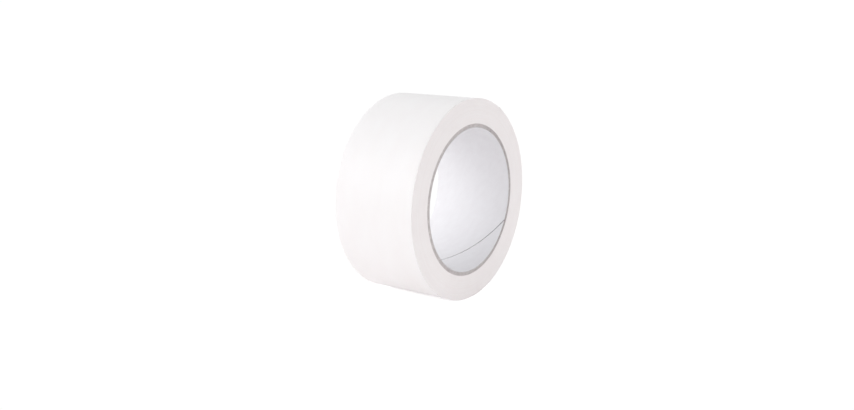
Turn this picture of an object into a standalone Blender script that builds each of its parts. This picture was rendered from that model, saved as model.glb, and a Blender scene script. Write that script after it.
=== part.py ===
"""Roll of packing tape, modelled the way it is made.

Every piece of a tape roll is a flat strip that has been rolled up. Paper and board strips are wound on a
slant into a tube, the core, and each strip meets its own edge along a spiral butt seam. One long strip of
tape is then wound straight on the core until its free end is stuck down on the turn below.

Units are metres and +Z is up. The roll stands on its rim, its axis is Y, and the origin is on that axis,
half way across the tape. Angles are in radians, from +X towards +Z.
"""

import math

import bmesh
import bpy
from mathutils import Vector

MM = 0.001

# Core: a paper liner and the board plies around it
BORE_DIAMETER = 76.2 * MM
LINER_THICKNESS = 0.25 * MM
BOARD_THICKNESS = 0.58 * MM
BOARD_PLIES = ("core_inner_ply", "core_middle_ply", "core_outer_ply")
GLUE_LINE = 0.03 * MM

# Spiral butt seams of the core: the tube's advance for one turn, and the slit left between a strip's edges
SEAM_PITCH = 154.0 * MM
SEAM_GAP = 0.3 * MM
LINER_SEAM_ANGLE = math.radians(-27.1)
SEAM_STAGGER = math.radians(90.0)

# Tape: one strip of coated film
TAPE_WIDTH = 48.0 * MM
TAPE_LENGTH = 66.0
TAPE_THICKNESS = 0.059 * MM
BOND_GAP = 0.02 * MM

# Free end: the last stretch of tape, which lifts about a peel line
FREE_END_ANGLE = math.radians(60.0)
FREE_END_LENGTH = 30.0 * MM
PEEL_GAP = 0.15 * MM

# Round faces are made of flats, with one flat square to the floor under the roll
FLATS = 120

FULL_TURN = 2.0 * math.pi
FLAT_ANGLE = FULL_TURN / FLATS
SNAP_ANGLE = 5.0e-5

# Radii of the core, from the bore outwards
BORE_RADIUS = BORE_DIAMETER / 2.0
BOARD_STEP = GLUE_LINE + BOARD_THICKNESS
CORE_RADIUS = BORE_RADIUS + LINER_THICKNESS + len(BOARD_PLIES) * BOARD_STEP

# The tape fills a ring whose side has the area of the strip's edge, and its last turn lies on the rest
WINDING_BORE_RADIUS = CORE_RADIUS + BOND_GAP
ROLL_RADIUS = math.sqrt(WINDING_BORE_RADIUS**2 + TAPE_LENGTH * TAPE_THICKNESS / math.pi)
WINDING_RADIUS = ROLL_RADIUS - TAPE_THICKNESS - BOND_GAP

# The last turn runs from under the free end, once round, to the free end itself
LAST_TURN_START = FREE_END_ANGLE
LAST_TURN_END = FREE_END_ANGLE + FULL_TURN
PEEL_ANGLE = LAST_TURN_END - FREE_END_LENGTH / ROLL_RADIUS
GAP_ANGLE = PEEL_GAP / ROLL_RADIUS

# Linear colour and roughness of each material
FILM_WHITE = ((0.88, 0.865, 0.87), 0.50)
EDGE_WHITE = ((0.78, 0.75, 0.755), 0.50)
BOARD_GREY = ((0.43, 0.40, 0.40), 0.90)
LINER_WHITE = ((0.84, 0.84, 0.86), 0.62)


def clear_scene():
    """Removes whatever the scene holds."""
    for old in list(bpy.data.objects):
        bpy.data.objects.remove(old, do_unlink=True)


def finish_of(name, look):
    """A plain material of the given colour and roughness."""
    colour, roughness = look
    material = bpy.data.materials.new(name)
    material.use_nodes = True
    shader = material.node_tree.nodes["Principled BSDF"]
    shader.inputs["Base Color"].default_value = (*colour, 1.0)
    shader.inputs["Roughness"].default_value = roughness
    shader.inputs["Metallic"].default_value = 0.0
    return material


def empty_at(name, place, parent=None):
    """An empty that carries pieces, at a place in the world."""
    empty = bpy.data.objects.new(name, None)
    bpy.context.collection.objects.link(empty)
    empty.parent = parent
    empty.location = place
    return empty


def place_piece(name, bm, material, carrier):
    """Makes an object of a bmesh modelled in the world, and hangs it on the empty that carries it."""
    bmesh.ops.translate(bm, verts=bm.verts, vec=-carrier.location)
    bmesh.ops.recalc_face_normals(bm, faces=bm.faces)
    mesh = bpy.data.meshes.new(name)
    bm.to_mesh(mesh)
    bm.free()
    mesh.shade_smooth()
    mesh.set_sharp_from_angle(angle=math.radians(30.0))
    mesh.materials.append(material)
    piece = bpy.data.objects.new(name, mesh)
    bpy.context.collection.objects.link(piece)
    piece.parent = carrier
    return piece


def flat_lines(start, end):
    """The angles between start and end at which one flat of a round face meets the next."""
    first = math.floor(start / FLAT_ANGLE - 0.5) + 1
    last = math.ceil(end / FLAT_ANGLE - 0.5)
    lines = [(line + 0.5) * FLAT_ANGLE for line in range(first, last)]
    return [line for line in lines if start + SNAP_ANGLE < line < end - SNAP_ANGLE]


def on_circle(radius, angle, across):
    """The point at a radius and an angle about the roll's axis, and a distance along it."""
    return Vector((radius * math.cos(angle), across, radius * math.sin(angle)))


def winding_radius(angle):
    """Outside of the tape below the last turn. It grows by one thickness of tape in that turn."""
    share = (angle - LAST_TURN_START) / FULL_TURN
    return WINDING_RADIUS + (share - 1.0) * TAPE_THICKNESS


def last_turn_radius(angle):
    """Underside of the last turn of tape."""
    return winding_radius(angle) + BOND_GAP


def rolled_strip(start, sweep, slant, underside, thickness):
    """A flat strip, creased across at the edge of every flat and rolled up about the roll's axis.

    start and sweep are the angles where the strip begins and how far it goes round, slant is how far its
    ends turn from one side of the tape to the other, and underside gives its inner radius at an angle.
    """
    bm = bmesh.new()
    half = TAPE_WIDTH / 2.0
    outline = (
        (start, -half),
        (start + sweep, -half),
        (start + sweep + slant, half),
        (start + slant, half),
    )
    sheet = bm.faces.new([bm.verts.new((angle, across, 0.0)) for angle, across in outline])
    raised = bmesh.ops.extrude_face_region(bm, geom=[sheet])["geom"]
    top = [item for item in raised if isinstance(item, bmesh.types.BMVert)]
    bmesh.ops.translate(bm, verts=top, vec=(0.0, 0.0, thickness))
    angles = [angle for angle, across in outline]
    for line in flat_lines(min(angles), max(angles)):
        everything = [*bm.verts, *bm.edges, *bm.faces]
        crease = Vector((line, 0.0, 0.0))
        along = Vector((1.0, 0.0, 0.0))
        bmesh.ops.bisect_plane(bm, geom=everything, dist=SNAP_ANGLE, plane_co=crease, plane_no=along)
    for vert in bm.verts:
        angle, across, height = vert.co
        vert.co = on_circle(underside(angle) + height, angle, across)
    return bm


def core_ply(inner_radius, thickness, seam_angle):
    """One ply of the core: a strip on a slant that goes once round and stops short of its own edge."""
    helix = math.atan2(SEAM_PITCH, FULL_TURN * inner_radius)
    slit = SEAM_GAP / (inner_radius * math.sin(helix))
    slant = -FULL_TURN * TAPE_WIDTH / SEAM_PITCH
    start = seam_angle + slit / 2.0
    return rolled_strip(start, FULL_TURN - slit, slant, lambda angle: inner_radius, thickness)


def closed_loop(bm, points):
    """Edges from each point to the next, and from the last to the first."""
    verts = [bm.verts.new(point) for point in points]
    return [bm.edges.new((vert, verts[index - 1])) for index, vert in enumerate(verts)]


def wound_tape():
    """All the turns below the last one, as a ring whose outside is a spiral with one step."""
    bm = bmesh.new()
    near = -TAPE_WIDTH / 2.0
    round_angles = flat_lines(0.0, FULL_TURN)
    spiral_angles = [LAST_TURN_START, *flat_lines(LAST_TURN_START, LAST_TURN_END), LAST_TURN_END]
    bore = closed_loop(bm, [on_circle(WINDING_BORE_RADIUS, angle, near) for angle in round_angles])
    outside = closed_loop(bm, [on_circle(winding_radius(angle), angle, near) for angle in spiral_angles])
    side = bmesh.ops.triangle_fill(bm, use_beauty=True, edges=bore + outside, normal=(0.0, -1.0, 0.0))
    faces = [item for item in side["geom"] if isinstance(item, bmesh.types.BMFace)]
    raised = bmesh.ops.extrude_face_region(bm, geom=faces)["geom"]
    far = [item for item in raised if isinstance(item, bmesh.types.BMVert)]
    bmesh.ops.translate(bm, verts=far, vec=(0.0, TAPE_WIDTH, 0.0))
    return bm


def outer_turn():
    """The last turn of tape, from where it leaves the winding's step to the peel line."""
    start = LAST_TURN_START + GAP_ANGLE
    return rolled_strip(start, PEEL_ANGLE - GAP_ANGLE - start, 0.0, last_turn_radius, TAPE_THICKNESS)


def tape_end():
    """The free end of the tape, from the peel line to its straight cut."""
    return rolled_strip(PEEL_ANGLE, LAST_TURN_END - PEEL_ANGLE, 0.0, last_turn_radius, TAPE_THICKNESS)


def build_core(roll_axis):
    """The liner and the board plies, each with its seam turned on from the one inside it."""
    paper = finish_of("liner_paper", LINER_WHITE)
    board = finish_of("core_board", BOARD_GREY)
    liner = core_ply(BORE_RADIUS, LINER_THICKNESS, LINER_SEAM_ANGLE)
    place_piece("core_liner_ply", liner, paper, roll_axis)
    for order, name in enumerate(BOARD_PLIES):
        inner_radius = BORE_RADIUS + LINER_THICKNESS + GLUE_LINE + order * BOARD_STEP
        seam_angle = LINER_SEAM_ANGLE + (order + 1) * SEAM_STAGGER
        place_piece(name, core_ply(inner_radius, BOARD_THICKNESS, seam_angle), board, roll_axis)


def build_tape(roll_axis, peel_line):
    """The winding, its last turn, and the free end on its peel line."""
    edge = finish_of("tape_edge", EDGE_WHITE)
    film = finish_of("tape_film", FILM_WHITE)
    place_piece("wound_tape", wound_tape(), edge, roll_axis)
    place_piece("outer_turn", outer_turn(), film, roll_axis)
    place_piece("tape_end", tape_end(), film, peel_line)


def least_gap_to_itself(angles):
    """Least distance between points of the last turn that are over a quarter of a turn apart along it."""
    points = [on_circle(last_turn_radius(angle), angle, 0.0) for angle in angles]
    pairs = zip(points, range(FLATS // 4, len(points)))
    return min((there - here).length for here, first in pairs for there in points[first:])


def print_sizes(peel_point):
    """Says what the driving dimensions add up to."""
    start = LAST_TURN_START + GAP_ANGLE
    end = PEEL_ANGLE - GAP_ANGLE
    gap = least_gap_to_itself([start, *flat_lines(start, end), end])
    turns = (ROLL_RADIUS - WINDING_BORE_RADIUS) / TAPE_THICKNESS
    print(f"core {2.0 * CORE_RADIUS / MM:.2f} mm and roll {2.0 * ROLL_RADIUS / MM:.2f} mm across")
    print(f"{turns:.0f} turns of tape, outer turn's least gap to itself {gap / MM:.2f} mm")
    print("peel line at", [round(value, 6) for value in peel_point])


def main():
    clear_scene()
    peel_point = on_circle(last_turn_radius(PEEL_ANGLE) + TAPE_THICKNESS, PEEL_ANGLE, 0.0)
    roll_axis = empty_at("roll_axis", Vector((0.0, 0.0, 0.0)))
    peel_line = empty_at("peel_line", peel_point, roll_axis)
    build_core(roll_axis)
    build_tape(roll_axis, peel_line)
    print_sizes(peel_point)


main()
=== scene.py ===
"""Looks of a roll of packing tape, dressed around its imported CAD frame.

The roll stands on its rim with its axis along Y. Its strips of paper, board and film are made flat first, as
the real ones are, and are then rolled up about that axis. Lengths are in metres, and angles are in radians
from +X towards +Z.
"""

import logging
import math
import random
from collections.abc import Callable
from dataclasses import dataclass
from enum import Enum, IntEnum
from typing import Any

import bmesh
import bpy
from mathutils import Matrix, Vector, noise


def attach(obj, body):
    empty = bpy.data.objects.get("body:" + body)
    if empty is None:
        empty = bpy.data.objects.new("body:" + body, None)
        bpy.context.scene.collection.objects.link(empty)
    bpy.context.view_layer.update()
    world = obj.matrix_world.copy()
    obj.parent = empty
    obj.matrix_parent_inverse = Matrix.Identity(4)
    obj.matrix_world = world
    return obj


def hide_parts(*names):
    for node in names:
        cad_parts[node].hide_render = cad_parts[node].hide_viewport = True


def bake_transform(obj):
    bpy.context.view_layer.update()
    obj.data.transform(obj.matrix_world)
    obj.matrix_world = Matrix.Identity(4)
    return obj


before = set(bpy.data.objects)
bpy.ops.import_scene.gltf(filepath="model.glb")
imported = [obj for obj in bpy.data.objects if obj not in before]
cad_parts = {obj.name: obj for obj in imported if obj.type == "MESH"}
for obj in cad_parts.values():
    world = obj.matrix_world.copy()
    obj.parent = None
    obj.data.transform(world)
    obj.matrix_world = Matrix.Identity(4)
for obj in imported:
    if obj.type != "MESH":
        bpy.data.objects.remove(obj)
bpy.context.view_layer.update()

LOG = logging.getLogger("tape_roll")
MM = 0.001
FULL_TURN = 2.0 * math.pi
AXIS = Vector((0.0, 1.0, 0.0))
DOWN = Vector((0.0, 0.0, -1.0))
STRIP_UV = "strip"
SHARP_ANGLE = math.radians(25.0)

Pair = tuple[float, float]
Triple = tuple[float, float, float]
Colour = Triple

WHITE = (1.0, 1.0, 1.0, 1.0)
WHOLE: Pair = (0.0, 1.0)

# Size that makes a grid one unit across
UNIT_GRID = 0.5

# Values between which most of a noise lies
NOISE_RANGE: Pair = (0.3, 0.7)


class Body(Enum):
    """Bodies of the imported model."""

    ROLL = "roll"
    TAPE_END = "tape_end"


class Slot(Enum):
    """Material slots of the record."""

    LINER = "liner_paper"
    BOARD = "core_board"
    EDGE = "tape_edge"
    FILM = "tape_film"


class Side(Enum):
    """The two flat sides of the roll, by the sign of Y."""

    NEAR = -1.0
    FAR = 1.0


class PlySurface(IntEnum):
    """Surfaces of a core ply, in the order of its materials."""

    FACE = 0
    CUT = 1
    INSIDE = 2
    SEAM = 3


class FilmSurface(IntEnum):
    """Surfaces of the film, in the order of its materials."""

    FACE = 0
    UNDERSIDE = 1


@dataclass(frozen=True)
class RollSizes:
    """Sizes that several pieces share: the CAD model's, apart from a closer bond and a round outside.

    Angles along the tape go on past a full turn. The outer turn's piece ends at the join angle, and the free
    end's piece starts there.
    """

    bore_radius: float = 38.1 * MM
    liner_thickness: float = 0.25 * MM
    board_thickness: float = 0.58 * MM
    board_plies: int = 3
    glue_line: float = 0.03 * MM
    seam_pitch: float = 154.0 * MM
    seam_gap: float = 0.3 * MM
    liner_seam_angle: float = math.radians(-27.1)
    seam_stagger: float = math.radians(90.0)
    tape_width: float = 48.0 * MM
    tape_thickness: float = 0.059 * MM
    bond_gap: float = 0.004 * MM
    roll_radius: float = 53.40 * MM
    free_end_angle: float = math.radians(60.0)
    free_end_length: float = 30.0 * MM
    join_angle: float = FULL_TURN

    @property
    def half_width(self) -> float:
        """Half the width of the tape."""
        return self.tape_width / 2.0

    @property
    def board_step(self) -> float:
        """Growth in radius from one board ply to the next."""
        return self.board_thickness + self.glue_line

    @property
    def core_radius(self) -> float:
        """Outside of the core."""
        return self.bore_radius + self.liner_thickness + self.board_plies * self.board_step

    @property
    def peel_angle(self) -> float:
        """Angle of the line about which the free end lifts."""
        return self.free_end_angle - self.free_end_length / self.roll_radius

    @property
    def cut_angle(self) -> float:
        """Angle along the tape of its cut end, one full turn past the free end's place."""
        return self.free_end_angle + FULL_TURN

    def film_underside(self, angle: float) -> float:
        """Radius under the outer turn at an angle, on a spiral that grows by one thickness in a turn."""
        short = (self.cut_angle - angle) / FULL_TURN
        return self.roll_radius - (1.0 + short) * self.tape_thickness


SIZES = RollSizes()


def on_circle(radius: float, angle: float, across: float) -> Vector:
    """Point at a radius and an angle about the roll's axis, and a distance along it."""
    return Vector((radius * math.cos(angle), across, radius * math.sin(angle)))


@dataclass(frozen=True)
class Grain:
    """Noise of a finish: its bumps to a unit of length, and the number and strength of its finer layers.

    On a strip, stretch scales it along the strip and across it.
    """

    scale: float
    detail: float
    rough: float
    stretch: Pair = (1.0, 1.0)


class Shader:
    """A Principled material and short calls that add nodes to it."""

    # Places of a Mix node's sockets when it mixes colours
    MIX_FACTOR = 0
    MIX_COLOURS = (6, 7)
    MIX_RESULT = 2

    def __init__(self, name: str) -> None:
        """Starts a material with a Principled shader.

        Args:
            name: Name of the material.
        """
        self.material = bpy.data.materials.new(name)
        self.material.use_nodes = True
        self.tree = self.material.node_tree
        self.principled = self.tree.nodes["Principled BSDF"]

    def add(self, kind: str, inputs: dict[str, Any] | None = None, **settings: Any) -> bpy.types.Node:
        """Adds a node.

        Args:
            kind: Name of the node's class.
            inputs: Values or sockets for the node's inputs, by name.
            settings: Values for the node's own properties.

        Returns:
            The node.
        """
        node = self.tree.nodes.new(kind)
        for key, value in settings.items():
            setattr(node, key, value)
        for key, value in (inputs or {}).items():
            self.feed(node.inputs[key], value)
        return node

    def feed(self, socket: bpy.types.NodeSocket, value: Any) -> None:
        """Links another node's output to a socket, or sets the socket's own value.

        Args:
            socket: Socket to feed.
            value: Output of another node, or a plain value.
        """
        if isinstance(value, bpy.types.NodeSocket):
            self.tree.links.new(value, socket)
        else:
            socket.default_value = value

    def maths(self, operation: str, *values: Any) -> bpy.types.NodeSocket:
        """Result of a sum on numbers.

        Args:
            operation: Name of the sum.
            values: Numbers or sockets, in the node's order.

        Returns:
            The result.
        """
        node = self.add("ShaderNodeMath", operation=operation)
        for socket, value in zip(node.inputs, values):
            self.feed(socket, value)
        return node.outputs[0]

    def strip_point(self, stretch: Pair) -> bpy.types.NodeSocket:
        """Place on a flat strip in millimetres.

        Args:
            stretch: Scale along the strip and across it.

        Returns:
            The scaled place.
        """
        uv = self.add("ShaderNodeUVMap", uv_map=STRIP_UV)
        inputs = {"Vector": uv.outputs["UV"], "Scale": (*stretch, 1.0)}
        return self.add("ShaderNodeMapping", inputs).outputs["Vector"]

    def object_point(self, scale: Triple) -> bpy.types.NodeSocket:
        """Place in the roll's own frame, scaled along X, Y and Z."""
        inputs = {"Vector": self.add("ShaderNodeTexCoord").outputs["Object"], "Scale": scale}
        return self.add("ShaderNodeMapping", inputs).outputs["Vector"]

    def radius(self) -> bpy.types.NodeSocket:
        """Distance from the roll's axis in millimetres."""
        flat = self.object_point((1.0 / MM, 0.0, 1.0 / MM))
        return self.add("ShaderNodeVectorMath", {"Vector": flat}, operation="LENGTH").outputs["Value"]

    def grain(self, point: bpy.types.NodeSocket, grain: Grain) -> bpy.types.NodeSocket:
        """Noise in space, from 0 to 1."""
        inputs = {"Vector": point, "Scale": grain.scale, "Detail": grain.detail, "Roughness": grain.rough}
        return self.add("ShaderNodeTexNoise", inputs).outputs["Fac"]

    def strip_grain(self, grain: Grain) -> bpy.types.NodeSocket:
        """Noise on a flat strip, from 0 to 1."""
        return self.grain(self.strip_point(grain.stretch), grain)

    def bands(self, value: bpy.types.NodeSocket, grain: Grain) -> bpy.types.NodeSocket:
        """Noise along one number, from 0 to 1."""
        inputs = {"W": value, "Scale": grain.scale, "Detail": grain.detail, "Roughness": grain.rough}
        return self.add("ShaderNodeTexNoise", inputs, noise_dimensions="1D").outputs["Fac"]

    def span(self, value: bpy.types.NodeSocket, source: Pair, target: Pair) -> bpy.types.NodeSocket:
        """Maps one range onto another, and clamps the rest.

        Args:
            value: Number to map.
            source: Range that it comes from.
            target: Range that it goes to.

        Returns:
            The mapped number.
        """
        names = ("From Min", "From Max", "To Min", "To Max")
        inputs = {"Value": value, **dict(zip(names, (*source, *target)))}
        return self.add("ShaderNodeMapRange", inputs).outputs["Result"]

    def between(self, factor: bpy.types.NodeSocket, first: Any, second: Any) -> bpy.types.NodeSocket:
        """Mixes two colours.

        Args:
            factor: Share of the second, from 0 to 1.
            first: Colour or socket.
            second: Colour or socket.

        Returns:
            The mixed colour.
        """
        node = self.add("ShaderNodeMix", data_type="RGBA")
        self.feed(node.inputs[self.MIX_FACTOR], factor)
        for place, colour in zip(self.MIX_COLOURS, (first, second)):
            linked = isinstance(colour, bpy.types.NodeSocket)
            self.feed(node.inputs[place], colour if linked else (*colour, 1.0))
        return node.outputs[self.MIX_RESULT]

    def bump(self, height: bpy.types.NodeSocket, depth: float, below: Any = None) -> bpy.types.NodeSocket:
        """Normal of a height map.

        Args:
            height: Height from 0 to 1.
            depth: Length in metres that a height of 1 stands for.
            below: Normal of another relief under this one.

        Returns:
            The normal.
        """
        node = self.add("ShaderNodeBump", {"Height": height, "Distance": depth, "Strength": 1.0})
        if below is not None:
            self.feed(node.inputs["Normal"], below)
        return node.outputs["Normal"]

    def finish(self, **inputs: Any) -> bpy.types.Material:
        """Feeds the Principled shader, whose inputs are named with underscores for spaces.

        Args:
            inputs: Values or sockets by input name.

        Returns:
            The material.
        """
        for key, value in inputs.items():
            self.feed(self.principled.inputs[key.replace("_", " ").title().replace("Ior", "IOR")], value)
        return self.material


@dataclass(frozen=True)
class FilmFinish:
    """White tape film with a satin release coat, streaked along the tape."""

    name: str = "white_film"
    pale: Colour = (0.880, 0.869, 0.876)
    warm: Colour = (0.870, 0.852, 0.858)
    roughness: Pair = (0.46, 0.56)
    ior: float = 1.49
    cloud: Grain = Grain(1.0, 3.0, 0.5, (0.05, 0.11))
    cloud_range: Pair = (0.35, 0.65)
    streak: Grain = Grain(1.0, 4.0, 0.6, (0.02, 3.2))
    streak_depth: float = 0.002 * MM
    speck: Grain = Grain(6.0, 2.0, 0.5)
    speck_depth: float = 0.0012 * MM

    def material(self) -> bpy.types.Material:
        """Builds the material.

        Returns:
            The material.
        """
        shader = Shader(self.name)
        cloud = shader.strip_grain(self.cloud)
        streak = shader.strip_grain(self.streak)
        speck = shader.strip_grain(self.speck)
        tone = shader.between(shader.span(cloud, self.cloud_range, WHOLE), self.pale, self.warm)
        fine = shader.bump(speck, self.speck_depth)
        lined = shader.bump(streak, self.streak_depth, fine)
        gloss = shader.span(streak, NOISE_RANGE, self.roughness)
        return shader.finish(base_color=tone, roughness=gloss, normal=lined, ior=self.ior)


@dataclass(frozen=True)
class AdhesiveFinish:
    """Clear adhesive on the back of white film: glossy, and faintly yellow."""

    name: str = "adhesive_back"
    pale: Colour = (0.868, 0.845, 0.828)
    deep: Colour = (0.835, 0.805, 0.782)
    roughness: Pair = (0.24, 0.36)
    ior: float = 1.47
    streak: Grain = Grain(1.0, 3.0, 0.5, (0.04, 1.6))
    peel: Grain = Grain(2.2, 3.0, 0.55)
    peel_depth: float = 0.002 * MM

    def material(self) -> bpy.types.Material:
        """Builds the material.

        Returns:
            The material.
        """
        shader = Shader(self.name)
        streak = shader.strip_grain(self.streak)
        peel = shader.strip_grain(self.peel)
        tone = shader.between(shader.span(streak, NOISE_RANGE, WHOLE), self.pale, self.deep)
        relief = shader.bump(peel, self.peel_depth)
        gloss = shader.span(peel, NOISE_RANGE, self.roughness)
        return shader.finish(base_color=tone, roughness=gloss, normal=relief, ior=self.ior)


@dataclass(frozen=True)
class EdgeFinish:
    """Cut edges of all the turns: fine rings of slightly unlike tone, with adhesive between them."""

    name: str = "tape_edges"
    pale: Colour = (0.812, 0.791, 0.797)
    warm: Colour = (0.783, 0.740, 0.741)
    roughness: Pair = (0.42, 0.58)
    ior: float = 1.49
    broad: Grain = Grain(0.9, 2.0, 0.6)
    broad_weight: float = 0.35
    fine: Grain = Grain(6.0, 4.0, 0.6)
    fine_weight: float = 0.45
    fine_depth: float = 0.006 * MM
    smear: Grain = Grain(1.0, 4.0, 0.6)
    smear_stretch: Triple = (90.0, 0.0, 90.0)
    smear_weight: float = 0.3
    tone_range: Pair = (0.35, 0.75)

    def material(self) -> bpy.types.Material:
        """Builds the material.

        Returns:
            The material.
        """
        shader = Shader(self.name)
        radius = shader.radius()
        broad = shader.bands(radius, self.broad)
        fine = shader.bands(radius, self.fine)
        smear = shader.grain(shader.object_point(self.smear_stretch), self.smear)
        under = shader.maths("MULTIPLY", broad, self.broad_weight)
        rings = shader.maths("MULTIPLY_ADD", fine, self.fine_weight, under)
        worn = shader.maths("MULTIPLY_ADD", smear, self.smear_weight, rings)
        tone = shader.between(shader.span(worn, self.tone_range, WHOLE), self.pale, self.warm)
        relief = shader.bump(fine, self.fine_depth)
        gloss = shader.span(smear, NOISE_RANGE, self.roughness)
        return shader.finish(base_color=tone, roughness=gloss, normal=relief, ior=self.ior)


@dataclass(frozen=True)
class BoardFinish:
    """Grey recycled board: pressed fibres with darker and paler flecks, and a darker stretch towards +X.

    The grains and the drift into that stretch are in millimetres.
    """

    name: str = "grey_board"
    dark: Colour = (0.313, 0.287, 0.291)
    mid: Colour = (0.455, 0.424, 0.428)
    pale: Colour = (0.632, 0.591, 0.590)
    roughness: Pair = (0.86, 0.96)
    ior: float = 1.4
    pulp: Grain = Grain(0.45, 5.0, 0.65)
    fibre: Grain = Grain(5.0, 3.0, 0.6)
    fibre_depth: float = 0.03 * MM
    fleck: Grain = Grain(2.6, 1.0, 0.4)
    fleck_range: Pair = (0.56, 0.70)
    fleck_share: float = 0.8
    drift_range: Pair = (12.0, 24.0)
    drift_share: float = 0.30

    def material(self) -> bpy.types.Material:
        """Builds the material.

        Returns:
            The material.
        """
        shader = Shader(self.name)
        point = shader.object_point((1.0 / MM, 1.0 / MM, 1.0 / MM))
        pulp = shader.grain(point, self.pulp)
        fibre = shader.grain(point, self.fibre)
        fleck = shader.grain(point, self.fleck)
        base = shader.between(shader.span(pulp, NOISE_RANGE, WHOLE), self.mid, self.pale)
        flecks = shader.span(fleck, self.fleck_range, (0.0, self.fleck_share))
        flecked = shader.between(flecks, base, self.dark)
        place = shader.add("ShaderNodeSeparateXYZ", {"Vector": point}).outputs["X"]
        drift = shader.span(place, self.drift_range, (0.0, self.drift_share))
        tone = shader.between(drift, flecked, self.dark)
        relief = shader.bump(fibre, self.fibre_depth)
        gloss = shader.span(fibre, NOISE_RANGE, self.roughness)
        return shader.finish(base_color=tone, roughness=gloss, normal=relief, ior=self.ior)


@dataclass(frozen=True)
class LinerFinish:
    """Bleached paper: a faint cloud of fibres along the strip, with a smooth calendered face."""

    name: str = "white_liner"
    pale: Colour = (0.850, 0.848, 0.872)
    grey: Colour = (0.818, 0.811, 0.835)
    roughness: Pair = (0.56, 0.70)
    ior: float = 1.45
    cloud: Grain = Grain(1.0, 4.0, 0.6, (0.16, 0.32))
    fibre: Grain = Grain(1.0, 3.0, 0.6, (1.2, 5.0))
    fibre_depth: float = 0.008 * MM

    def material(self) -> bpy.types.Material:
        """Builds the material.

        Returns:
            The material.
        """
        shader = Shader(self.name)
        cloud = shader.strip_grain(self.cloud)
        fibre = shader.strip_grain(self.fibre)
        tone = shader.between(shader.span(cloud, NOISE_RANGE, WHOLE), self.pale, self.grey)
        relief = shader.bump(fibre, self.fibre_depth)
        gloss = shader.span(fibre, NOISE_RANGE, self.roughness)
        return shader.finish(base_color=tone, roughness=gloss, normal=relief, ior=self.ior)


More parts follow.
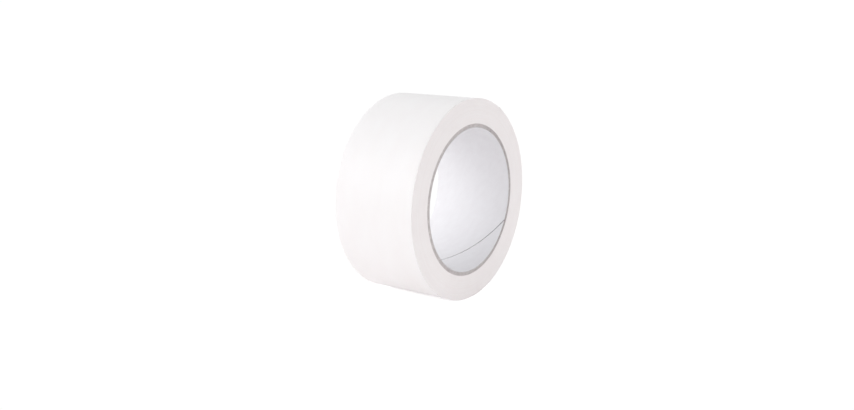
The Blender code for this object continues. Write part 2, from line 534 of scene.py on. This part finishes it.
class FlatStrip:
    """A strip in the flat, with X along it from its start, Y from its middle and Z from its underside."""

    # Distance within which a crease takes a point that is there already
    CREASE_SNAP = 1.0e-7
    # Edges that are rounded are sharper than this, and get this many faces
    CORNER_ANGLE = math.radians(45.0)
    CORNER_SEGMENTS = 2
    # Least share of a face's normal that points in a direction
    FACING = 0.5
    # Depth of the frayed edge, and thickness of one layer of fibres
    FRAYED_BAND = 0.2 * MM
    FIBRE_LAYER = 0.25 * MM

    def __init__(self, length: float, width: float, thickness: float, columns: int, rows: int) -> None:
        """Makes a slab from a grid.

        Args:
            length: Length along X.
            width: Width across Y.
            thickness: Height in Z.
            columns: Number of faces along the strip.
            rows: Number of faces across it.
        """
        self.length = length
        self.width = width
        self.thickness = thickness
        self.bm = bmesh.new()
        bmesh.ops.create_grid(self.bm, x_segments=columns, y_segments=rows, size=UNIT_GRID)
        bmesh.ops.scale(self.bm, verts=self.bm.verts, vec=(length, width, 1.0))
        bmesh.ops.translate(self.bm, verts=self.bm.verts, vec=(length / 2.0, 0.0, 0.0))
        raised = bmesh.ops.extrude_face_region(self.bm, geom=list(self.bm.faces))["geom"]
        top = [item for item in raised if isinstance(item, bmesh.types.BMVert)]
        bmesh.ops.translate(self.bm, verts=top, vec=(0.0, 0.0, thickness))
        bmesh.ops.recalc_face_normals(self.bm, faces=self.bm.faces)

    def crease(self, *places: float) -> None:
        """Cuts lines across the strip.

        Args:
            places: Distances along the strip.
        """
        for place in places:
            bmesh.ops.bisect_plane(
                self.bm,
                geom=[*self.bm.verts, *self.bm.edges, *self.bm.faces],
                dist=self.CREASE_SNAP,
                plane_co=(place, 0.0, 0.0),
                plane_no=(1.0, 0.0, 0.0),
            )

    def soften(self, offset: float) -> None:
        """Rounds the slab's own edges.

        Args:
            offset: Width of the rounding on each face.
        """
        sharp = [edge for edge in self.bm.edges if edge.calc_face_angle(0.0) > self.CORNER_ANGLE]
        bmesh.ops.bevel(
            self.bm,
            geom=sharp,
            offset=offset,
            offset_type="OFFSET",
            affect="EDGES",
            segments=self.CORNER_SEGMENTS,
            profile=0.5,
            material=-1,
            clamp_overlap=True,
        )

    def paint(self, direction: Vector, index: int) -> None:
        """Gives some faces another of the piece's materials.

        Args:
            direction: Direction in which the faces point.
            index: Place of the material in the piece's order.
        """
        for face in self.bm.faces:
            if face.normal.dot(direction) > self.FACING:
                face.material_index = index

    def slant(self, shift: float) -> None:
        """Shears the strip.

        Args:
            shift: Length by which the far side comes to lie further along.
        """
        shear = Matrix.Identity(4)
        shear[0][1] = shift / self.width
        shear[0][3] = shift / 2.0
        bmesh.ops.transform(self.bm, matrix=shear, verts=self.bm.verts)

    def write_uv(self, lengthwise: Vector) -> None:
        """Stores each point's flat place in millimetres, with U along the strip's own length.

        Args:
            lengthwise: Direction of the strip's length in the flat.
        """
        along = lengthwise.normalized()
        layer = self.bm.loops.layers.uv.new(STRIP_UV)
        for face in self.bm.faces:
            for loop in face.loops:
                place = loop.vert.co.xy / MM
                loop[layer].uv = (place.dot(along), place.cross(along))

    def fray(self, depth: float, pitch: float, seed: float) -> None:
        """Draws the points of both long edges in by an uneven depth, as a knife leaves fibres.

        Args:
            depth: Greatest depth.
            pitch: Length of one unevenness along the edge.
            seed: Place in the noise, which sets it apart from other strips.
        """
        for vert in self.bm.verts:
            inside = self.width / 2.0 - abs(vert.co.y)
            if inside < self.FRAYED_BAND:
                point = Vector((vert.co.x / pitch, seed, vert.co.z / self.FIBRE_LAYER))
                rough = 0.5 + 0.5 * noise.noise(point)
                vert.co.y -= math.copysign(depth * rough, vert.co.y)

    def roll_up(self, start: float, wrap_radius: float, underside: Callable[[float], float]) -> None:
        """Rolls the strip about the roll's axis.

        Args:
            start: Angle of the strip's start.
            wrap_radius: Radius at which a length along the strip becomes an angle.
            underside: Radius of the underside at an angle.
        """
        for vert in self.bm.verts:
            along, across, height = vert.co
            angle = start + along / wrap_radius
            vert.co = on_circle(underside(angle) + height, angle, across)

    def piece(self, name: str, *materials: bpy.types.Material) -> bpy.types.Object:
        """Makes the finished object, with its materials in the order of the faces' indices."""
        return make_piece(name, self.bm, *materials)


def make_piece(name: str, bm: bmesh.types.BMesh, *materials: bpy.types.Material) -> bpy.types.Object:
    """Turns a bmesh into an object at the origin, with smooth faces that keep their sharp edges.

    Args:
        name: Name of the piece.
        bm: The bmesh, which is freed.
        materials: Materials in the order of the faces' indices.

    Returns:
        The object.
    """
    bmesh.ops.recalc_face_normals(bm, faces=bm.faces)
    mesh = bpy.data.meshes.new(name)
    bm.to_mesh(mesh)
    bm.free()
    mesh.shade_smooth()
    mesh.set_sharp_from_angle(angle=SHARP_ANGLE)
    for material in materials:
        mesh.materials.append(material)
    piece = bpy.data.objects.new(name, mesh)
    bpy.context.scene.collection.objects.link(piece)
    return piece


def settle(piece: bpy.types.Object, slot: Slot, *nodes: str) -> bpy.types.Object:
    """Puts a piece in its place in the frame.

    Args:
        piece: The piece.
        slot: Slot of the record; not used.
        nodes: CAD nodes that it stands for.

    Returns:
        The piece.
    """
    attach(piece, Body.ROLL.value)
    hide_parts(*nodes)
    return piece


@dataclass(frozen=True)
class CorePly:
    """One strip of the core, wound on a slant with its edges butted along a spiral seam."""

    name: str
    node: str
    inner_radius: float
    thickness: float
    seam_angle: float
    edge_softness: float
    fray_depth: float
    slot: Slot
    fray_pitch: float = 0.9 * MM
    columns: int = 720
    rows: int = 24

    def build(
        self,
        face: bpy.types.Material,
        cut: bpy.types.Material,
        inside: bpy.types.Material,
        seam: bpy.types.Material,
    ) -> bpy.types.Object:
        """Builds the ply and puts it in place.

        Args:
            face: Finish of the strip.
            cut: Finish of its edges on the sides of the roll.
            inside: Finish of its face towards the bore.
            seam: Finish of the edges that meet at the seam.

        Returns:
            The piece.
        """
        turn = FULL_TURN * self.inner_radius
        helix = math.atan2(SIZES.seam_pitch, turn)
        slit = SIZES.seam_gap / math.sin(helix)
        shift = -turn * SIZES.tape_width / SIZES.seam_pitch
        strip = FlatStrip(turn - slit, SIZES.tape_width, self.thickness, self.columns, self.rows)
        for side in Side:
            strip.paint(Vector((0.0, side.value, 0.0)), PlySurface.CUT)
        strip.paint(DOWN, PlySurface.INSIDE)
        for end in (-1.0, 1.0):
            strip.paint(Vector((end, 0.0, 0.0)), PlySurface.SEAM)
        strip.soften(self.edge_softness)
        strip.fray(self.fray_depth, self.fray_pitch, self.inner_radius / MM)
        strip.slant(shift)
        strip.write_uv(Vector((shift, SIZES.tape_width)))
        start = self.seam_angle + slit / 2.0 / self.inner_radius
        strip.roll_up(start, self.inner_radius, lambda angle: self.inner_radius)
        return settle(strip.piece(self.name, face, cut, inside, seam), self.slot, self.node)


@dataclass(frozen=True)
class Core:
    """The tube that the tape is wound on: a paper liner and three board plies."""

    board_names: tuple[str, ...] = ("inner_board", "middle_board", "outer_board")
    board_nodes: tuple[str, ...] = ("core_inner_ply", "core_middle_ply", "core_outer_ply")
    board_softness: float = 0.07 * MM
    board_fray: float = 0.08 * MM
    liner_softness: float = 0.05 * MM
    liner_fray: float = 0.05 * MM
    liner_finish: LinerFinish = LinerFinish()
    # Grey paper for the liner's cut edges: painted shade, for the shade that the fibrous cut holds.
    cut_liner_shade_finish: LinerFinish = LinerFinish(
        "cut_liner_shade", (0.60, 0.585, 0.59), (0.50, 0.485, 0.49), (0.79, 0.93)
    )
    board_finish: BoardFinish = BoardFinish()
    # Near-black board for the faces seen down the seam's slit: painted shade for the shadow in the slit.
    painted_shade_finish: BoardFinish = BoardFinish(
        "painted_shade_board", (0.11, 0.108, 0.115), (0.15, 0.148, 0.155), (0.21, 0.205, 0.215)
    )

    def plies(self) -> list[CorePly]:
        """Lists the board plies.

        Returns:
            The plies, from the inside out.
        """
        first = SIZES.bore_radius + SIZES.liner_thickness + SIZES.glue_line
        return [
            CorePly(
                name,
                node,
                first + order * SIZES.board_step,
                SIZES.board_thickness,
                SIZES.liner_seam_angle + (order + 1) * SIZES.seam_stagger,
                self.board_softness,
                self.board_fray,
                Slot.BOARD,
            )
            for order, (name, node) in enumerate(zip(self.board_names, self.board_nodes))
        ]

    def build(self) -> list[bpy.types.Object]:
        """Builds the liner and the board plies.

        Returns:
            The pieces.
        """
        liner = CorePly(
            "paper_liner",
            "core_liner_ply",
            SIZES.bore_radius,
            SIZES.liner_thickness,
            SIZES.liner_seam_angle,
            self.liner_softness,
            self.liner_fray,
            Slot.LINER,
        )
        paper = self.liner_finish.material()
        board = self.board_finish.material()
        # Painted shade for the seam's slit, on the liner's seam edges and on the board plies' faces towards
        # the bore.
        painted_shade = self.painted_shade_finish.material()
        # The liner's cut edges take the grey painted shade.
        pieces = [liner.build(paper, self.cut_liner_shade_finish.material(), paper, painted_shade)]
        pieces += [ply.build(board, board, painted_shade, board) for ply in self.plies()]
        return pieces


@dataclass(frozen=True)
class TapeTurns:
    """All the turns of tape below the outer one, as a turned ring with the relief of their edges."""

    rings: int = 84
    steps: int = 300
    relief: float = 0.05 * MM
    core_gap: float = 0.02 * MM
    seat_gap: float = 0.006 * MM
    rim_band: float = 0.01 * MM
    seed: int = 11
    finish: EdgeFinish = EdgeFinish()

    @property
    def inner_radius(self) -> float:
        """Inside of the wound tape."""
        return SIZES.core_radius + self.core_gap

    @property
    def outer_radius(self) -> float:
        """Outside of the wound tape where the outer turn starts."""
        return SIZES.film_underside(OuterTurn().start) - self.seat_gap

    def build(self) -> bpy.types.Object:
        """Builds the ring: an oblong section whose sides are cut into rings, set uneven and spun.

        Returns:
            The piece.
        """
        bm = bmesh.new()
        depth = self.outer_radius - self.inner_radius
        bmesh.ops.create_grid(bm, x_segments=1, y_segments=1, size=UNIT_GRID)
        bmesh.ops.scale(bm, verts=bm.verts, vec=(depth, SIZES.tape_width, 1.0))
        bmesh.ops.translate(bm, verts=bm.verts, vec=(self.inner_radius + depth / 2.0, 0.0, 0.0))
        bmesh.ops.delete(bm, geom=bm.faces[:], context="FACES_ONLY")
        sides = [edge for edge in bm.edges if edge.verts[0].co.y * edge.verts[1].co.y > 0.0]
        bmesh.ops.subdivide_edges(bm, edges=sides, cuts=self.rings)
        self.set_uneven(bm)
        bmesh.ops.spin(
            bm,
            geom=[*bm.verts, *bm.edges],
            cent=(0.0, 0.0, 0.0),
            axis=AXIS,
            angle=FULL_TURN,
            steps=self.steps,
            use_merge=True,
        )
        self.follow_spiral(bm)
        return settle(make_piece("wound_turns", bm, self.finish.material()), Slot.EDGE, "wound_tape")

    def set_uneven(self, bm: bmesh.types.BMesh) -> None:
        """Sets the edges of some turns in from the side by an uneven depth.

        Args:
            bm: The ring's section.
        """
        draw = random.Random(self.seed)
        for vert in sorted(bm.verts, key=lambda point: (point.co.y, point.co.x)):
            sunk = self.relief * draw.random() ** 2
            if self.inner_radius + self.rim_band < vert.co.x < self.outer_radius - self.rim_band:
                vert.co.y -= math.copysign(sunk, vert.co.y)

    def follow_spiral(self, bm: bmesh.types.BMesh) -> None:
        """Swells the outside to the spiral on which the outer turn lies.

        Args:
            bm: The spun ring.
        """
        start = OuterTurn().start
        for vert in bm.verts:
            if math.hypot(vert.co.x, vert.co.z) > self.outer_radius - self.rim_band:
                angle = start + (math.atan2(vert.co.z, vert.co.x) - start) % FULL_TURN
                vert.co = on_circle(SIZES.film_underside(angle) - self.seat_gap, angle, vert.co.y)


@dataclass(frozen=True)
class FilmStrip:
    """A stretch of the outer film, whose face swells slightly in bands round the roll."""

    columns: int
    rows: int = 30
    softness: float = 0.016 * MM
    end_hold: float = 0.01 * MM
    swell: float = 0.02 * MM
    waves: tuple[Triple, ...] = ((1.0, 5.1, 0.6), (0.6, 11.7, 2.0))
    edge_power: int = 6

    def band(self, across: float) -> float:
        """Height of the bands: waves of a height, a rate and a phase, which fade at the tape's edges.

        Args:
            across: Distance from the middle of the tape.

        Returns:
            The height.
        """
        share = across / SIZES.half_width
        wave = sum(height * math.sin(rate * share + phase) for height, rate, phase in self.waves)
        return self.swell * 0.5 * wave * (1.0 - share**self.edge_power)

    def strip(self, start: float, end: float, lift: Callable[[float], float]) -> FlatStrip:
        """Makes the film between two angles and rolls it up.

        Args:
            start: Angle where it starts.
            end: Angle where it ends.
            lift: Height above the turn below at an angle.

        Returns:
            The rolled strip.
        """
        scale = SIZES.roll_radius
        thickness = SIZES.tape_thickness - SIZES.bond_gap
        strip = FlatStrip((end - start) * scale, SIZES.tape_width, thickness, self.columns, self.rows)
        strip.crease(self.end_hold, strip.length - self.end_hold)
        strip.paint(DOWN, FilmSurface.UNDERSIDE)
        strip.soften(self.softness)
        bmesh.ops.translate(strip.bm, verts=strip.bm.verts, vec=(start * scale, 0.0, 0.0))
        strip.write_uv(Vector((1.0, 0.0)))
        for vert in strip.bm.verts:
            vert.co.z += self.band(vert.co.y)
        strip.roll_up(0.0, scale, lambda angle: SIZES.film_underside(angle) + lift(angle))
        return strip


@dataclass(frozen=True)
class OuterTurn:
    """The outer turn of film, which starts under the free end and goes round once to meet it."""

    lead: float = math.radians(45.0)
    film: FilmStrip = FilmStrip(420)

    @property
    def start(self) -> float:
        """Angle where the film starts, under the free end's root."""
        return SIZES.free_end_angle - self.lead

    def build(self, film: bpy.types.Material, adhesive: bpy.types.Material) -> bpy.types.Object:
        """Builds the turn, with one finish on its face and the other on its underside."""
        strip = self.film.strip(self.start, SIZES.join_angle, lambda angle: 0.0)
        return settle(strip.piece("outer_film", film, adhesive), Slot.FILM, "outer_turn")


@dataclass(frozen=True)
class FreeEnd:
    """The free end of the tape, whose tip curls slightly off the turn below."""

    bend: float = 9.0 * MM
    curl_length: float = 6.0 * MM
    curl_height: float = 0.2 * MM
    film: FilmStrip = FilmStrip(90)

    def curl(self, angle: float) -> float:
        """Height by which the tip stands off the turn below.

        Args:
            angle: Angle along the strip.

        Returns:
            The height.
        """
        rest = (SIZES.cut_angle - angle) * SIZES.roll_radius
        share = 1.0 - rest / self.curl_length
        return self.curl_height * max(share, 0.0) ** 2

    def build(self, film: bpy.types.Material, adhesive: bpy.types.Material) -> bpy.types.Object:
        """Builds the free end, and hides the CAD part that it stands for.

        Args:
            film: Finish of the face.
            adhesive: Finish of the underside.

        Returns:
            The piece.
        """
        strip = self.film.strip(SIZES.join_angle, SIZES.cut_angle, self.curl)
        piece = strip.piece("free_end", film, adhesive)
        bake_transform(piece)
        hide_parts("tape_end")
        return piece


@dataclass(frozen=True)
class SoftBox:
    """A square area lamp that points at the roll."""

    name: str
    place: Triple
    size: float
    power: float

    def build(self) -> bpy.types.Object:
        """Builds the lamp.

        Returns:
            The lamp.
        """
        data = bpy.data.lights.new(self.name, "AREA")
        data.shape = "SQUARE"
        data.size = self.size
        data.energy = self.power
        lamp = bpy.data.objects.new(self.name, data)
        lamp.location = self.place
        lamp.rotation_mode = "QUATERNION"
        lamp.rotation_quaternion = Vector(self.place).to_track_quat("Z", "Y")
        bpy.context.scene.collection.objects.link(lamp)
        return lamp


@dataclass(frozen=True)
class PhotoCamera:
    """The camera of the photograph, fitted to the outlines of the roll."""

    azimuth: float = math.radians(-54.63)
    elevation: float = math.radians(12.63)
    distance: float = 499.4 * MM
    right: float = 3.83 * MM
    raised: float = 5.57 * MM
    focal_pixels: float = 926.1
    frame_pixels: float = 854.0
    sensor: float = 36.0
    clip_start: float = 0.01
    clip_end: float = 50.0

    def build(self) -> bpy.types.Object:
        """Builds the camera and makes it the scene's.

        Returns:
            The camera.
        """
        level = math.cos(self.elevation)
        back = Vector(
            (
                math.sin(self.azimuth) * level,
                -math.cos(self.azimuth) * level,
                math.sin(self.elevation),
            )
        )
        side = Vector((math.cos(self.azimuth), math.sin(self.azimuth), 0.0))
        up = back.cross(side)
        data = bpy.data.cameras.new("photo_camera")
        data.sensor_fit = "HORIZONTAL"
        data.sensor_width = self.sensor
        data.lens = self.focal_pixels / self.frame_pixels * self.sensor
        data.clip_start = self.clip_start
        data.clip_end = self.clip_end
        camera = bpy.data.objects.new("photo_camera", data)
        turn = Matrix((side, up, back)).transposed().to_4x4()
        place = back * self.distance - side * self.right - up * self.raised
        camera.matrix_world = Matrix.Translation(place) @ turn
        bpy.context.scene.collection.objects.link(camera)
        bpy.context.scene.camera = camera
        return camera


def seen_rays(tree: bpy.types.NodeTree) -> bpy.types.NodeSocket:
    """One where a ray comes from the camera, a mirror or glass, and zero on other rays.

    Args:
        tree: Node tree that the test is added to.

    Returns:
        The test's result.
    """
    path = tree.nodes.new("ShaderNodeLightPath")
    total = path.outputs["Is Camera Ray"]
    for name in ("Is Glossy Ray", "Is Transmission Ray"):
        added = tree.nodes.new("ShaderNodeMath")
        added.operation = "MAXIMUM"
        tree.links.new(total, added.inputs[0])
        tree.links.new(path.outputs[name], added.inputs[1])
        total = added.outputs[0]
    return total


def mix_shaders(
    tree: bpy.types.NodeTree,
    share: bpy.types.NodeSocket,
    first: bpy.types.Node,
    second: bpy.types.Node,
) -> bpy.types.Node:
    """Mixes two shaders.

    Args:
        tree: Node tree that the mix is added to.
        share: Share of the second shader, from 0 to 1.
        first: Node of the first shader.
        second: Node of the second shader.

    Returns:
        The mix.
    """
    node = tree.nodes.new("ShaderNodeMixShader")
    tree.links.new(share, node.inputs["Fac"])
    tree.links.new(first.outputs[0], node.inputs[1])
    tree.links.new(second.outputs[0], node.inputs[2])
    return node


@dataclass(frozen=True)
class Studio:
    """White floor, white surround, soft lamps and the camera.

    The white that shows is just above the picture's own, so that it stays clean. The shadow on the floor
    shows as far as its reach to each side of the roll's foot, and then fades.
    """

    floor_radius: float = 0.5
    floor_segments: int = 96
    floor_colour: Colour = (0.96, 0.925, 0.920)
    world_strength: float = 0.527
    shown_white: float = 1.02
    shadow_share: float = 0.9
    shadow_lift: float = 0.71
    shadow_reach: float = 20.0 * MM
    shadow_fade: float = 10.0 * MM
    lamps: tuple[SoftBox, ...] = (
        SoftBox("back_box", (0.0, 1.5, 0.6), 3.0, 20.3),
        SoftBox("left_box", (-1.66, 0.78, 0.88), 1.3, 13.9),
        SoftBox("front_left_box", (-1.2, -1.3, 0.12), 0.5, 4.7),
        SoftBox("front_box", (0.5, -1.85, 0.2), 0.6, 9.6),
        SoftBox("right_box", (1.75, 0.55, 0.0), 0.8, 6.0),
    )
    camera: PhotoCamera = PhotoCamera()

    def near_contact(self, shader: Shader) -> bpy.types.NodeSocket:
        """One on the floor next to the line on which the roll stands, fading to zero round it.

        Args:
            shader: Material that the test is added to.

        Returns:
            The test's result.
        """
        place = shader.add("ShaderNodeSeparateXYZ", {"Vector": shader.object_point((1.0, 1.0, 1.0))})
        shares = []
        for axis, reach in (("X", self.shadow_reach), ("Y", SIZES.half_width)):
            away = shader.maths("ABSOLUTE", place.outputs[axis])
            shares.append(shader.span(away, (reach, reach + self.shadow_fade), (1.0, 0.0)))
        return shader.maths("MULTIPLY", *shares)

    def build_world(self) -> None:
        """Lights the scene evenly from all round, and shows white behind it."""
        world = bpy.data.worlds.new("white_surround")
        world.use_nodes = True
        tree = world.node_tree
        light = tree.nodes["Background"]
        light.inputs["Color"].default_value = WHITE
        light.inputs["Strength"].default_value = self.world_strength
        shown = tree.nodes.new("ShaderNodeBackground")
        shown.inputs["Color"].default_value = WHITE
        shown.inputs["Strength"].default_value = self.shown_white
        mixed = mix_shaders(tree, seen_rays(tree), light, shown)
        tree.links.new(mixed.outputs[0], tree.nodes["World Output"].inputs["Surface"])
        bpy.context.scene.world = world

    def floor_material(self) -> bpy.types.Material:
        """Builds the floor's finish, which shows only the deep part of the roll's shadow.

        The camera sees clean white away from the roll, because a brighter floor would eat into its outline.

        Returns:
            The material.
        """
        shader = Shader("white_floor")
        tree = shader.tree
        tree.nodes.remove(shader.principled)
        plain = shader.add("ShaderNodeBsdfDiffuse", {"Color": (*self.floor_colour, 1.0)})
        thin = shader.add("ShaderNodeBsdfDiffuse", {"Color": (self.shadow_share,) * 3 + (1.0,)})
        glow = shader.add("ShaderNodeEmission", {"Strength": self.shadow_lift})
        white = shader.add("ShaderNodeEmission", {"Strength": self.shown_white})
        shown = shader.add("ShaderNodeAddShader")
        tree.links.new(thin.outputs[0], shown.inputs[0])
        tree.links.new(glow.outputs[0], shown.inputs[1])
        to_others = mix_shaders(tree, seen_rays(tree), plain, shown)
        to_camera = mix_shaders(tree, self.near_contact(shader), white, shown)
        camera_ray = shader.add("ShaderNodeLightPath").outputs["Is Camera Ray"]
        surface = mix_shaders(tree, camera_ray, to_others, to_camera)
        tree.links.new(surface.outputs[0], tree.nodes["Material Output"].inputs["Surface"])
        return shader.material

    def build_floor(self) -> bpy.types.Object:
        """Lays a white floor under the roll.

        Returns:
            The floor.
        """
        bm = bmesh.new()
        bmesh.ops.create_circle(bm, cap_ends=True, radius=self.floor_radius, segments=self.floor_segments)
        bmesh.ops.translate(bm, verts=bm.verts, vec=(0.0, 0.0, -SIZES.roll_radius))
        floor = make_piece("floor", bm, self.floor_material())
        return floor

    def build(self) -> list[bpy.types.Object]:
        """Builds the studio.

        Returns:
            The camera, the floor and the lamps.
        """
        bpy.context.scene.view_settings.view_transform = "Standard"
        self.build_world()
        return [self.camera.build(), self.build_floor(), *(lamp.build() for lamp in self.lamps)]


@dataclass(frozen=True)
class TapeRoll:
    """The whole roll, from its core out."""

    core: Core = Core()
    turns: TapeTurns = TapeTurns()
    outer_turn: OuterTurn = OuterTurn()
    free_end: FreeEnd = FreeEnd()
    film_finish: FilmFinish = FilmFinish()
    adhesive_finish: AdhesiveFinish = AdhesiveFinish()

    def build(self) -> list[bpy.types.Object]:
        """Builds every piece of the roll.

        Returns:
            The pieces.
        """
        film = self.film_finish.material()
        adhesive = self.adhesive_finish.material()
        return [
            *self.core.build(),
            self.turns.build(),
            self.outer_turn.build(film, adhesive),
            self.free_end.build(film, adhesive),
        ]


def main() -> None:
    """Builds the studio and the roll, and reports each piece."""
    logging.basicConfig(level=logging.INFO, format="%(name)s: %(message)s")
    for item in Studio().build():
        LOG.info("studio %s", item.name)
    for piece in TapeRoll().build():
        LOG.info("piece %s, %d faces", piece.name, len(piece.data.polygons))


if __name__ == "__main__":
    main()
